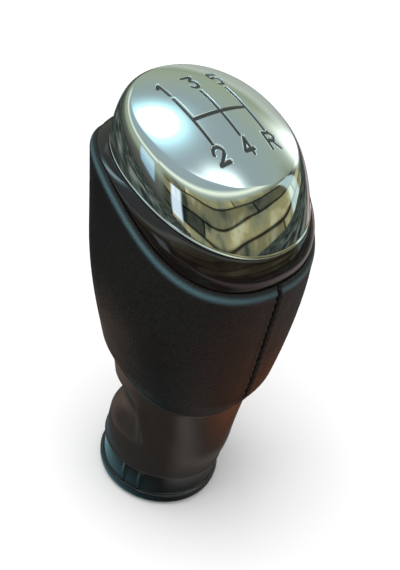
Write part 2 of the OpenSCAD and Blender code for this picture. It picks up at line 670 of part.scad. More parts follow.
// Figures drawn in a box as wide as w and as high as h, from the middle of its foot
module figure(name, w, h, line) {
    r = w / 2;
    k = h / 4;
    if (name == "1") stroke([[-r * 0.7, h - k], [0, h], [0, 0]], line);
    if (name == "2") stroke(concat(arc(0, h - r, r, 180, 0), [[r * 0.8, h / 2], [-r, 0], [r, 0]]), line);
    if (name == "3")
        stroke(concat([[-r, h], [r, h], [0, h * 0.6]], arc(0, k * 1.2, k * 1.2, 90, -150)), line);
    if (name == "4") stroke([[r * 0.4, 0], [r * 0.4, h], [-r, k], [r, k]], line);
    if (name == "5")
        stroke(concat([[r, h], [-r, h], [-r, h * 0.58]], arc(-r * 0.1, k * 1.3, k * 1.3, 90, -120)), line);
    if (name == "R") {
        stroke([[-r, 0], [-r, h], [r * 0.2, h], [r, h - k * 0.7], [r, h - k * 1.3], [r * 0.2, h - k * 2],
            [-r, h - k * 2]], line);
        stroke([[0, h - k * 2], [r, 0]], line);
    }
}
FIGURES = [["1", -1, 1], ["2", -1, -1], ["3", 0, 1], ["4", 0, -1], ["5", 1, 1], ["R", 1, -1]];
module pattern_outline(line) {
    for (x = [-1:1]) stroke([[x * gate_pitch, -gate_half], [x * gate_pitch, gate_half]], line);
    stroke([[-gate_pitch, 0], [gate_pitch, 0]], line);
    for (f = FIGURES) {
        foot = f[2] > 0 ? gate_half + front_gap : -gate_half - rear_gap - figure_h;
        translate([f[1] * gate_pitch, foot]) figure(f[0], figure_w, figure_h, line);
    }
}
module pattern(line, depth) {
    difference() {
        translate([0, gate_y, top_z - PATTERN_DROP]) linear_extrude(PATTERN_RISE) pattern_outline(line);
        cap_outside(depth);
    }
}
module shift_pattern() {
    color("#101216")
        intersection() {
            pattern(line_w, engraving);
            cap_outside(enamel_drop);
        }
}

chrome_cap();
shift_pattern();
upper_collar();
collar_screws();
leather_cover();
seam_thread();
foam_pad();
grip_core();
neck_shell();
lever_bush();
bush_clip();
base_ring();
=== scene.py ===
import math
import bpy
import numpy as np
from mathutils import Matrix, Vector


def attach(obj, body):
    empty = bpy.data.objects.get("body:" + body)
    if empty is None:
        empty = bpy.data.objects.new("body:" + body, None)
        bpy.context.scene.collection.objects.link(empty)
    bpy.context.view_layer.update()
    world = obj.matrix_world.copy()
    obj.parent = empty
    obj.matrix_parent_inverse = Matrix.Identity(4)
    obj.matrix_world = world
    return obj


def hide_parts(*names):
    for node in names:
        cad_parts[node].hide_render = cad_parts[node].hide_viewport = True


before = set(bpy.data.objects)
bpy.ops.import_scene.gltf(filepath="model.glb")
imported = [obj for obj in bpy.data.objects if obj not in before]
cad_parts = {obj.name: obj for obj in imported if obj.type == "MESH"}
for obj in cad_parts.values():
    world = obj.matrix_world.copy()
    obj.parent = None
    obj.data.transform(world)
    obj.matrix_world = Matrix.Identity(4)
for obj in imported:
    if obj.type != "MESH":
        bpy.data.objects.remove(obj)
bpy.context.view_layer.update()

MM = 0.001

# ---------------------------------------------------------------- camera
# Fitted to the photo's outlines: radians, then mm from a point half way up the knob, then the lens
AZIMUTH, ELEVATION, ROLL = -0.92122, 0.62639, 0.25099
SHIFT_RIGHT, SHIFT_UP, DISTANCE, AIM_Z = -1.1849, -6.1820, 200.0, 50.0
LENS, SENSOR = 55.27, 36
CLIP_NEAR, CLIP_FAR = 0.01, 20


def make_camera():
    back = np.array([math.sin(AZIMUTH) * math.cos(ELEVATION),
                     -math.cos(AZIMUTH) * math.cos(ELEVATION), math.sin(ELEVATION)])
    level = np.cross(-back, [0, 0, 1])
    level /= np.linalg.norm(level)
    above = np.cross(level, -back)
    right = math.cos(ROLL) * level + math.sin(ROLL) * above
    up = -math.sin(ROLL) * level + math.cos(ROLL) * above
    place = np.array([0, 0, AIM_Z]) - SHIFT_RIGHT * right - SHIFT_UP * up + DISTANCE * back
    data = bpy.data.cameras.new("camera")
    data.sensor_width = SENSOR
    data.lens = LENS
    data.clip_start = CLIP_NEAR
    data.clip_end = CLIP_FAR
    camera = bpy.data.objects.new("camera", data)
    camera.matrix_world = Matrix([[right[i], up[i], back[i], place[i] * MM] for i in range(3)] + [[0, 0, 0, 1]])
    bpy.context.collection.objects.link(camera)
    bpy.context.scene.camera = camera


make_camera()

# ---------------------------------------------------------------- sections, in mm
# A section is one closed outline round the lever: half width, reach to the car's front and to the driver
# from its middle, the middle's y and z, slope, bow, sweep, and the form's power, where 2 is an ellipse.
WIDTH, FRONT, REAR, MID_Y, MID_Z, SLOPE, BOW, SWEEP, FORM = range(9)
HEAD_FORM, TOP_FORM, NECK_FORM = 2.25, 2.15, 2.0


def section(w, front, rear, y, z, slope, bow=0.0, sweep=0.0, form=HEAD_FORM):
    """A section whose front and rear are given as distances from the lever's axis."""
    return np.array([w, front - y, rear + y, y, z, slope, bow, sweep, form], float)


def inset(s, d):
    return s - np.array([d, d, d, 0, 0, 0, 0, 0, 0])


def raised(s, h):
    return s + np.array([0, 0, 0, 0, h, 0, 0, 0, 0])


def scaled(s, k):
    return s * np.array([k, k, k, 1, 1, 1, 1, 1, 1])


def mixed(a, b, t):
    return a + (b - a) * t


def signed_power(v, e):
    return np.sign(v) * np.abs(v) ** e


def smoothstep(t):
    t = np.clip(t, 0, 1)
    return t * t * (3 - 2 * t)


def bell(x, middle, width):
    return np.exp(-((x - middle) / width) ** 2)


def ring(s, angles):
    """Points of a section at angles in degrees, from +X towards +Y."""
    a = np.radians(angles)
    across = signed_power(np.cos(a), 2 / s[FORM])
    along = signed_power(np.sin(a), 2 / s[FORM])
    y = np.where(along > 0, s[FRONT], s[REAR]) * along
    z = s[MID_Z] + s[SLOPE] * y - s[BOW] * along ** 2 + s[SWEEP] * (along - along ** 3)
    return np.stack([s[WIDTH] * across, s[MID_Y] + y, z], axis=1)


def course(knots, z):
    """The section at a height on a smooth course through knots, which never overshoots them."""
    zs = [k[MID_Z] for k in knots]
    i = 0
    while i < len(knots) - 2 and z > zs[i + 1]:
        i += 1
    steps = [(q - p) / (q[MID_Z] - p[MID_Z]) for p, q in zip(knots, knots[1:])]

    def rate(j):
        before, after = steps[max(j - 1, 0)], steps[min(j, len(steps) - 1)]
        if j in (0, len(steps)):
            return before
        alike = before * after > 0
        return np.where(alike, 2 * before * after / np.where(alike, before + after, 1.0), 0.0)

    h = zs[i + 1] - zs[i]
    t = (z - zs[i]) / h
    a, b = rate(i) * h, rate(i + 1) * h
    p, q = knots[i], knots[i + 1]
    out = p + t * (a + t * (3 * (q - p) - 2 * a - b + t * (2 * (p - q) + a + b)))
    out[MID_Z] = z
    return out


LEATHER_T, ROLL_H, TUCK, FIT = 1.2, 1.9, 3.0, 0.1
# The leather's upper edge, the place where its roll begins, its lower edge and its course between them
RIM = section(24.0, 28.0, 18.9, 4.6, 83.2, 0.33, 4.4, 5.7)
ROLLED = raised(inset(RIM, -LEATHER_T), -ROLL_H)
HEM = section(18.0, 18.4, 17.3, 0, 38.4, 0.25)
HEAD = [HEM, section(21.6, 17.4, 19.6, 1, 45, 0.24),
        section(26.2, 23.4, 20.1, 3.4, 67.4, 0.32, 0.6, 1), ROLLED]
HEAD_RUN = ROLLED[MID_Z] - HEM[MID_Z]
# The neck, from the base ring up to the leather
SHOULDER_Z = 9.6
NECK_TOP = raised(inset(HEM, 1), -FIT)
NECK = [section(14.9, 14.9, 14.9, 0, SHOULDER_Z + FIT, 0, form=NECK_FORM),
        section(15, 14, 16.4, 0, 22.6, 0.2, form=NECK_FORM), NECK_TOP]
# The plated cap's foot and the edge of its domed top face
CAP = section(21.6, 26.4, 17.4, 4.6, 85.4, 0.28, 1.8, 0, TOP_FORM)
TOP = section(17.8, 23.3, 10.2, 7.2, 95.3, 0.285, 0, 0, TOP_FORM)
DOME_H = 2.9
ROUND = np.linspace(0, 360, 289)[:-1]


def head_at(share):
    return course(HEAD, HEM[MID_Z] + HEAD_RUN * share)


# ---------------------------------------------------------------- mesh helpers
def new_object(name, verts, faces, smooth=True):
    mesh = bpy.data.meshes.new(name)
    mesh.from_pydata((np.asarray(verts) * MM).tolist(), [], faces)
    mesh.validate()
    mesh.update()
    if smooth:
        mesh.polygons.foreach_set("use_smooth", [True] * len(mesh.polygons))
    obj = bpy.data.objects.new(name, mesh)
    bpy.context.collection.objects.link(obj)
    return obj


def band(low, high, n):
    """Quads between two closed rows of n vertices that start at low and high."""
    return [(low + i, low + (i + 1) % n, high + (i + 1) % n, high + i) for i in range(n)]


def lofted(name, rings):
    """Rings of equal length, counter-clockwise seen from above, listed so that the outside is on the right."""
    n = len(rings[0])
    faces = [f for k in range(len(rings) - 1) for f in band(k * n, (k + 1) * n, n)]
    return new_object(name, np.concatenate(rings), faces)


# ---------------------------------------------------------------- shift pattern
GATE_PITCH, GATE_HALF, GATE_Y = 7.5, 6.1, 6.41
FIGURE_H, FIGURE_W, FRONT_GAP, REAR_GAP, LINE_W = 3.6, 2.5, 1.3, 0.8, 0.8
# Each figure's column and whether it stands at the front end
FIGURES = (("1", -1, True), ("2", -1, False), ("3", 0, True), ("4", 0, False), ("5", 1, True), ("R", 1, False))


def arc(x, y, r, start, end, steps=14):
    a = np.radians(np.linspace(start, end, steps))
    return [(x + r * math.cos(t), y + r * math.sin(t)) for t in a]


def figure(name):
    """The strokes of a figure as open lines, from its foot at y 0."""
    h, r, k = FIGURE_H, FIGURE_W / 2, FIGURE_H / 4
    if name == "1":
        return [[(-r * 0.7, h - k), (0, h), (0, 0)]]
    if name == "2":
        return [arc(0, h - r, r, 180, 0) + [(r * 0.8, h * 0.5), (-r, 0), (r, 0)]]
    if name == "3":
        return [[(-r, h), (r, h), (0, h * 0.6)] + arc(0, k * 1.2, k * 1.2, 90, -150)]
    if name == "4":
        return [[(r * 0.4, 0), (r * 0.4, h), (-r, k), (r, k)]]
    if name == "5":
        return [[(r, h), (-r, h), (-r, h * 0.58)] + arc(-r * 0.1, k * 1.3, k * 1.3, 90, -120)]
    return [[(-r, 0), (-r, h), (r * 0.2, h)] + arc(r * 0.2, h - k, k, 90, -90) + [(-r, h - k * 2)],
            [(0, h - k * 2), (r, 0)]]


def pattern_segments():
    lines = [[(x * GATE_PITCH, -GATE_HALF), (x * GATE_PITCH, GATE_HALF)] for x in (-1, 0, 1)]
    lines.append([(-GATE_PITCH, 0), (GATE_PITCH, 0)])
    for name, column, front in FIGURES:
        foot = GATE_HALF + FRONT_GAP if front else -GATE_HALF - REAR_GAP - FIGURE_H
        for line in figure(name):
            lines.append([(x + column * GATE_PITCH, y + foot) for x, y in line])
    return [(np.array(a), np.array(b)) for line in lines for a, b in zip(line, line[1:])]


def pattern_distance(x, y):
    """Distance of points from the nearest stroke's middle line, seen from above."""
    p = np.stack([x, y - GATE_Y], axis=1)
    best = np.full(len(p), np.inf)
    for a, b in pattern_segments():
        run = b - a
        t = np.clip(((p - a) @ run) / max(run @ run, 1e-9), 0, 1)
        best = np.minimum(best, np.linalg.norm(p - (a + t[:, None] * run), axis=1))
    return best


# ---------------------------------------------------------------- plated cap
SHOULDER, BULGE, TURN_AT = 0.08, 0.5, 0.7
CAP_LIP, CAP_WALL, CAP_INSIDE = 0.3, 2.0, 0.3
# The corner that the shoulder rounds, and the cap's lower edge
CORNER = raised(scaled(TOP, 1 + SHOULDER), -2 * DOME_H * SHOULDER)
CAP_FOOT = raised(CAP, FIT / 2)
GROOVE, GROOVE_WALL, GROOVE_LIP = 0.38, 0.38, 0.13
ENAMEL_DROP, ENAMEL_SAG, ENAMEL_REACH = 0.15, 0.05, 0.16
# The fine grid that carries the grooves
CELL, COLUMNS, ROWS, GATE_ROW = 0.1, 201, 246, 121


def top_share(x, y):
    """Offset in y from the top face's middle, the face's reach there, and the share of the way to its edge."""
    yl = y - TOP[MID_Y]
    reach = np.where(yl > 0, TOP[FRONT], TOP[REAR])
    k = ((np.abs(x) / TOP[WIDTH]) ** TOP_FORM + (np.abs(yl) / reach) ** TOP_FORM) ** (1 / TOP_FORM)
    return yl, reach, k


def dome_height(x, y):
    yl, _, k = top_share(x, y)
    return TOP[MID_Z] + TOP[SLOPE] * yl + DOME_H * (1 - k ** 2)


def ring_angles(x, y):
    """The section angles of points of the top face, and their share of the way to its edge."""
    yl, reach, k = top_share(x, y)
    across = signed_power(x / (TOP[WIDTH] * k), TOP_FORM / 2)
    along = signed_power(yl / (reach * k), TOP_FORM / 2)
    return np.degrees(np.arctan2(along, across)), k


def wall_at(t):
    """The cap's slightly swollen wall, from its foot at 0 to the sharp corner at 1."""
    return inset(mixed(CAP_FOOT, CORNER, t), -BULGE * math.sin(math.pi * t))


def shoulder_at(t):
    """The rounded shoulder, from the wall at 0 to the top face's edge at 1."""
    low, step = wall_at(TURN_AT), 0.001
    rate = (wall_at(TURN_AT + step) - wall_at(TURN_AT - step)) / (2 * step)
    p1 = low + rate * (1 - TURN_AT) * 2 / 3
    p2 = mixed(TOP, CORNER, 2 / 3)
    u = 1 - t
    return u ** 3 * low + 3 * u * u * t * p1 + 3 * u * t * t * p2 + t ** 3 * TOP


def make_cap():
    nx, ny = COLUMNS, ROWS
    gx, gy = [g.ravel() for g in np.meshgrid((np.arange(nx) - nx // 2) * CELL,
                                             GATE_Y + (np.arange(ny) - GATE_ROW) * CELL)]
    dist = pattern_distance(gx, gy)
    top = dome_height(gx, gy)
    depth = GROOVE * smoothstep((LINE_W / 2 + GROOVE_LIP - dist) / GROOVE_WALL)
    cells = [(a, a + 1, a + nx + 1, a + nx) for j in range(ny - 1) for a in range(j * nx, j * nx + nx - 1)]
    # The grid's border, counter-clockwise
    border = ([i for i in range(nx - 1)] + [j * nx + nx - 1 for j in range(ny - 1)]
              + [(ny - 1) * nx + i for i in range(nx - 1, 0, -1)] + [j * nx for j in range(ny - 1, 0, -1)])
    bx, by = gx[border], gy[border]
    angles, k = ring_angles(bx, by)
    rings = []
    for t in np.linspace(0, 1, 10)[1:]:
        grown = mixed(k, 1.0, t) / k
        x, y = bx * grown, TOP[MID_Y] + (by - TOP[MID_Y]) * grown
        rings.append(np.stack([x, y, dome_height(x, y)], axis=1))
    down = [shoulder_at(t) for t in np.linspace(1, 0, 20)[1:]]
    down += [wall_at(t) for t in np.linspace(TURN_AT, 0.03, 14)[1:]]
    # The lip turns in round a small radius
    for t in np.radians(np.linspace(0, 90, 5)):
        down.append(raised(inset(CAP_FOOT, CAP_LIP * (1 - math.cos(t))), CAP_LIP * (1 - math.sin(t))))
    down += [inset(CAP_FOOT, CAP_WALL), inset(wall_at(CAP_INSIDE), CAP_WALL)]
    rings += [ring(s, angles) for s in down]
    faces, last, n = list(cells), border, len(border)
    for m in range(len(rings)):
        now = list(range(len(gx) + m * n, len(gx) + (m + 1) * n))
        faces += [(last[i], now[i], now[(i + 1) % n], last[(i + 1) % n]) for i in range(n)]
        last = now
    cap = new_object("cap", np.concatenate([np.stack([gx, gy, top - depth], axis=1)] + rings), faces)

    near = dist < LINE_W / 2 + ENAMEL_REACH
    level = top - ENAMEL_DROP - ENAMEL_SAG * smoothstep(1 - dist / (LINE_W / 2))
    keep = [f for f in cells if all(near[v] for v in f)]
    used = sorted({v for f in keep for v in f})
    index = {v: i for i, v in enumerate(used)}
    enamel = new_object("pattern_enamel", np.stack([gx, gy, level], axis=1)[used],
                        [tuple(index[v] for v in f) for f in keep])
    return cap, enamel


# ---------------------------------------------------------------- collar
SKIRT_IN, SKIRT_WALL, COLLAR_BULGE = LEATHER_T + FIT, 2.2, 0.9
# The collar's upper edge turns in a little over the last part of its height
EDGE_IN, EDGE_FROM = 0.35, 0.94
# The ledge that the cap rests on, and the spigot inside the cap
LEDGE_IN, SPIGOT_OUT, SPIGOT_IN, SPIGOT_TOP, SPIGOT_DEEP = 0.6, 2.1, 3.5, 0.25, 3


def make_collar():
    skirt = head_at(1 - TUCK / HEAD_RUN)
    course_up = [inset(skirt, SKIRT_IN + SKIRT_WALL), inset(skirt, SKIRT_IN), inset(ROLLED, SKIRT_IN)]
    for t in np.linspace(0, 1, 30):
        edge = EDGE_IN * max(0.0, (t - EDGE_FROM) / (1 - EDGE_FROM)) ** 2
        course_up.append(inset(mixed(inset(RIM, FIT), CAP, t), -COLLAR_BULGE * math.sin(math.pi * t) + edge))
    spigot = wall_at(SPIGOT_TOP)
    course_up += [inset(CAP, LEDGE_IN), inset(CAP, SPIGOT_OUT), inset(spigot, SPIGOT_OUT),
                  inset(spigot, SPIGOT_IN), raised(inset(CAP, SPIGOT_IN), -SPIGOT_DEEP)]
    return lofted("collar", [ring(s, ROUND) for s in course_up])


# ---------------------------------------------------------------- leather
SEAM_AT, SEAM_PITCH = 270, 1.9
# Degrees to each side of the seam where the mesh is finest and fine, and mm that the seam's pull reaches
SEAM_FINEST, SEAM_FINE, SEAM_REACH = 4, 9, 5
# The fold at the upper edge begins at this share of the head, and the leather flattens there
FOLD_FROM = 0.94
TUCK_GAP, TUCK_RISE = 0.02, 0.6
# The seam is shallower on the turned lower edge, and fades in above it
HEM_SEAM, SEAM_FADE = 0.6, 6
# The seam's channel: depth, more depth on the fold, half width, and how much wider it is at a stitch
CHANNEL, FOLD_CHANNEL, CHANNEL_WIDE, STITCH_WIDER = 0.75, 0.5, 0.36, 0.28
# The raised shoulders beside the channel, and the wider dent that a stitch draws in
SEAM_RAISED, RAISED_AT, RAISED_WIDE, STITCH_DENT, DENT_WIDE = 0.1, 1.35, 0.55, 0.1, 1.0
# The polished band along the fold, which also carries a painted highlight: its middle and width in mm from the fold's
# beginning, and the rings' steps
POLISH_HIGHLIGHT_AT, POLISH_HIGHLIGHT_WIDE, STEP_ABOVE, STEP_BELOW = 0.85, 0.52, 0.15, 0.28
# It stops short of the seam, over this width, and grows to full strength from here on at the left, where the painted
# highlight is brightest
POLISH_HIGHLIGHT_STOP, POLISH_HIGHLIGHT_FADE, POLISH_HIGHLIGHT_LEAST, POLISH_HIGHLIGHT_FROM, POLISH_HIGHLIGHT_GROWS = 0.5, 0.6, 0.75, 4, 14


def seam_cut(x, z, over):
    """Depth of the channel at a distance x from the seam, with the leather drawn in at each stitch."""
    pull = 0.5 + 0.5 * np.cos(2 * math.pi * z / SEAM_PITCH)
    channel = (CHANNEL + FOLD_CHANNEL * over) * bell(x, 0, CHANNEL_WIDE + STITCH_WIDER * pull ** 2)
    shoulder = SEAM_RAISED * bell(np.abs(x), RAISED_AT, RAISED_WIDE) * (1 - over)
    return channel - shoulder + STITCH_DENT * pull * bell(x, 0, DENT_WIDE)


def make_leather():
    near = SEAM_AT + np.concatenate([np.linspace(-SEAM_FINE, -SEAM_FINEST, 11),
                                     np.linspace(-SEAM_FINEST, SEAM_FINEST, 49)[1:-1],
                                     np.linspace(SEAM_FINEST, SEAM_FINE, 11)])
    angles = np.concatenate([np.linspace(0, SEAM_AT - SEAM_FINE, 210)[:-1], near,
                             np.linspace(SEAM_AT + SEAM_FINE, 360, 66)[1:-1]])

    def cut(s, over, share=1.0):
        r = ring(s, angles)
        at_rear = r[:, 1] < s[MID_Y]
        seam = np.where(at_rear & (np.abs(r[:, 0]) < SEAM_REACH), seam_cut(r[:, 0], r[:, 2], over), 0) * share
        out = r - np.array([0, s[MID_Y], 0])
        out[:, 2] = 0
        out /= np.maximum(np.linalg.norm(out, axis=1, keepdims=True), 1e-6)
        return r - out * seam[:, None]

    turned = LEATHER_T / 2 / HEAD_RUN
    rings = [ring(inset(head_at(TUCK / HEAD_RUN), LEATHER_T), angles)]
    for t in np.linspace(0, 1, 11):
        s = raised(inset(head_at(turned), LEATHER_T * (1 - t)),
                   -LEATHER_T / 2 * math.sqrt(max(0, 1 - (2 * t - 1) ** 2)))
        rings.append(cut(s, 0, t * HEM_SEAM))
    for share in np.linspace(turned, 1, 150)[1:]:
        over = smoothstep((share - FOLD_FROM) / (1 - FOLD_FROM))
        rings.append(cut(head_at(share), over, min(1.0, HEM_SEAM + share * SEAM_FADE)))
    fold = len(rings)
    for t in np.linspace(0, 1, 17)[1:]:
        s = raised(inset(ROLLED, LEATHER_T * (1 - math.cos(t * math.pi / 2))), ROLL_H * math.sin(t * math.pi / 2))
        rings.append(cut(s, 1.0, 1 - 0.5 * t))
    rings.append(ring(inset(raised(ROLLED, TUCK_RISE), LEATHER_T + TUCK_GAP), angles))
    rings.append(ring(inset(ROLLED, LEATHER_T + TUCK_GAP), angles))

    # Mask of the polished band, which also places the painted teal highlight in the leather's colour
    polish_and_painted_highlight = []
    for k, (x, y, _) in enumerate(r.T for r in rings):
        run = (k - fold + 1) * (STEP_ABOVE if k >= fold else STEP_BELOW)
        off_seam = np.where(y < -SEAM_REACH, smoothstep((np.abs(x) - POLISH_HIGHLIGHT_STOP) / POLISH_HIGHLIGHT_FADE), 1)
        at_left = POLISH_HIGHLIGHT_LEAST + (1 - POLISH_HIGHLIGHT_LEAST) * smoothstep((-x - POLISH_HIGHLIGHT_FROM) / POLISH_HIGHLIGHT_GROWS)
        polish_and_painted_highlight.append(bell(run, POLISH_HIGHLIGHT_AT, POLISH_HIGHLIGHT_WIDE) * off_seam * at_left)
    obj = lofted("leather", rings)
    obj.data.attributes.new("polish_and_painted_highlight", "FLOAT", "POINT").data.foreach_set("value", np.concatenate(polish_and_painted_highlight).tolist())
    return obj


# Stitches: the thread's radius, half a stitch's run across and along the seam, and the margins at its ends
THREAD_R, STITCH_ACROSS, STITCH_ALONG, SEAM_ABOVE_HEM, SEAM_BELOW_ROLL = 0.27, 0.62, 0.75, 2.2, 1.2
# A stitch's level against the leather, how far it arches, and how much further its ends dive
STITCH_LEVEL, STITCH_ARCH, STITCH_DIVE = -0.62, 0.42, 0.25


def tube_along(points, radius, sides=10):
    points = np.array(points)
    rings = []
    for i, p in enumerate(points):
        run = points[min(i + 1, len(points) - 1)] - points[max(i - 1, 0)]
        run /= np.linalg.norm(run)
        u = np.cross(run, [0, 0, 1.0])
        u /= np.linalg.norm(u)
        v = np.cross(u, run)
        a = np.linspace(0, 2 * math.pi, sides, endpoint=False)
        rings.append(p + radius * (np.cos(a)[:, None] * u + np.sin(a)[:, None] * v))
    return rings


def make_stitches():
    """Stitches that cross the channel, by turns to the right and to the left, with sunk ends."""
    verts, faces, base = [], [], 0
    low, high = HEM[MID_Z] + SEAM_ABOVE_HEM, ROLLED[MID_Z] - SEAM_BELOW_ROLL
    for i in range(int((high - low) / SEAM_PITCH)):
        z = high - i * SEAM_PITCH
        point, ahead = [ring(course(HEAD, h), np.array([float(SEAM_AT)]))[0] for h in (z, z + 0.5)]
        up = (ahead - point) / np.linalg.norm(ahead - point)
        out = np.cross([1.0, 0, 0], up)
        out = out if out[1] < 0 else -out
        side = 1 if i % 2 == 0 else -1
        path = []
        for t in np.linspace(-1, 1, 9):
            lift = STITCH_LEVEL + STITCH_ARCH * math.cos(t * math.pi / 2) - STITCH_DIVE * abs(t) ** 3
            across = np.array([side * t * STITCH_ACROSS, 0, 0])
            path.append(point + across + up * t * STITCH_ALONG + out * lift)
        rings = tube_along(path, THREAD_R)
        n, m = len(rings[0]), len(rings)
        verts += rings
        faces += [f for k in range(m - 1) for f in band(base + k * n, base + (k + 1) * n, n)]
        faces.append(tuple(base + a for a in range(n - 1, -1, -1)))
        faces.append(tuple(base + (m - 1) * n + a for a in range(n)))
        base += n * m
    return new_object("seam_stitches", np.concatenate(verts), faces)


# ---------------------------------------------------------------- neck
# The finger scoops: depth, how much deeper at the front, height of the middle, its rise, and reach up and down
SCOOP_DEPTH, SCOOP_DEEPER = 2.3, 0.2
SCOOP_Z, SCOOP_RISE, SCOOP_UP, SCOOP_DOWN = 24.4, 1.2, 7.4, 7.8
# A scoop's edge runs from 0 degrees at the leather to this angle at this height, and has a soft ridge
EDGE_ANGLE, EDGE_Z, SCOOP_SOFT, RIDGE_H, RIDGE_WIDE = -22, 18.6, 15, 0.5, 6
# Below this angle the dish leans towards its edge
LEAN_FROM, SCOOP_POWER = 45, 1.3
NECK_FOOT_IN, NECK_FOOT_H, NECK_WALL, NECK_TOP_WALL = 0.25, 0.2, 2.0, 3
# Beads above the neck's foot and under the leather: height, distance from the end, width
FOOT_BEAD, TOP_BEAD = (0.2, 0.35, 0.25), (0.45, 0.75, 0.55)


def scooped(points):
    x, y, z = points.T
    a = np.degrees(np.arctan2(y, np.abs(x)))
    edge = np.minimum(0, EDGE_ANGLE * (HEM[MID_Z] - z) / (HEM[MID_Z] - EDGE_Z))
    # The dish leans: its middle is higher near its edge than at the front
    lean = np.clip(1 - a / LEAN_FROM, 0, 1)
    middle = SCOOP_Z + SCOOP_RISE * lean
    d = np.abs(z - middle) / np.where(z > middle, SCOOP_UP, SCOOP_DOWN)
    tall = np.where(d >= 1, 0, np.cos(np.radians(90 * np.minimum(d, 1))) ** SCOOP_POWER)
    wide = 1 - (1 - np.clip((a - edge) / SCOOP_SOFT, 0, 1)) ** 2
    depth = SCOOP_DEPTH + SCOOP_DEEPER * (1 - lean)
    k = 1 - tall * (depth * wide - RIDGE_H * bell(a, edge - 1, RIDGE_WIDE)) / np.hypot(x, y)
    return np.stack([x * k, y * k, z], axis=1)


def make_neck():
    bottom = NECK[0][MID_Z]
    run = NECK_TOP[MID_Z] - bottom
    rings = [ring(inset(NECK[0], d), ROUND) for d in (NECK_WALL, NECK_FOOT_IN)]
    for share in np.concatenate([np.linspace(0, 0.04, 12)[:-1], np.linspace(0.04, 1, 105)]):
        above, below = share * run, (1 - share) * run
        foot = NECK_FOOT_IN * (1 - smoothstep(above / NECK_FOOT_H)) - FOOT_BEAD[0] * bell(above, *FOOT_BEAD[1:])
        bead = TOP_BEAD[0] * bell(below, *TOP_BEAD[1:])
        rings.append(scooped(ring(inset(course(NECK, bottom + above), foot - bead), ROUND)))
    rings.append(ring(inset(NECK_TOP, NECK_TOP_WALL), ROUND))
    return lofted("neck", rings)


# ---------------------------------------------------------------- base ring
FOOT_R, FLANGE_R, FLANGE_Z, BAND_R = 13.6, 15.3, 3.6, 14.2
BUSH_R, TUBE_R, FLOOR_Z, BELLY_H, FLANGE_ROUND = 7.7, 9.3, 3.0, 2.8, 0.5
BAND_TAPER, BAND_EDGE, BORE_EDGE, FOOT_EDGE = 0.4, 0.2, 0.15, 0.3
# The corner between flange and band, as steps out from the band and up from the flange
FLANGE_CORNER = ((0.56, -0.02), (0.45, 0.12), (0.4, 0.4))
# The ribs' places in degrees, their height and their half width in degrees
RIBS, RIB_H, RIB_HALF = (188, 206, 334, 352), 0.5, 2.0


def make_ring():
    profile = [(BUSH_R, FLOOR_Z), (BUSH_R, BORE_EDGE), (BUSH_R + BORE_EDGE, 0.0), (FOOT_R - FOOT_EDGE, 0.0)]
    for a in np.radians(np.linspace(0, 90, 15)):
        profile.append((FOOT_R + (FLANGE_R - FOOT_R) * math.sin(a), BELLY_H * (1 - math.cos(a))))
    for a in np.radians(np.linspace(0, 90, 10)):
        profile.append((FLANGE_R - FLANGE_ROUND * (1 - math.cos(a)), FLANGE_Z - FLANGE_ROUND * (1 - math.sin(a))))
    profile += [(BAND_R + r, FLANGE_Z + z) for r, z in FLANGE_CORNER]
    # The band narrows upwards
    for z in np.linspace(FLANGE_Z + 0.8, SHOULDER_Z - BAND_EDGE, 8):
        profile.append((BAND_R + BAND_TAPER * (SHOULDER_Z - z) / (SHOULDER_Z - FLANGE_Z), z))
    profile += [(BAND_R - BAND_EDGE, SHOULDER_Z), (TUBE_R, SHOULDER_Z), (TUBE_R, FLOOR_Z), (BUSH_R, FLOOR_Z)]
    degrees = np.linspace(0, 360, 361)[:-1]
    turns = np.radians(degrees)
    rings = []
    for r, z in profile:
        radius = np.full(len(turns), float(r))
        if FLANGE_Z + 0.35 < z < SHOULDER_Z - 0.1 and r > TUBE_R + 1:
            for rib in RIBS:
                radius += RIB_H * np.exp(-(((degrees - rib + 180) % 360 - 180) / RIB_HALF) ** 4)
        rings.append(np.stack([radius * np.cos(turns), radius * np.sin(turns), np.full(len(turns), z)], axis=1))
    return lofted("ring", rings)


# ---------------------------------------------------------------- materials
def material(name, color, roughness, metallic=0.0, specular=0.5, coat=0.0, coat_roughness=0.05):
    mat = bpy.data.materials.new(name)
    mat.use_nodes = True
    inputs = mat.node_tree.nodes["Principled BSDF"].inputs
    inputs["Base Color"].default_value = (*color, 1)
    inputs["Roughness"].default_value = roughness
    inputs["Metallic"].default_value = metallic
    inputs["Specular IOR Level"].default_value = specular
    inputs["Coat Weight"].default_value = coat
    inputs["Coat Roughness"].default_value = coat_roughness
    return mat


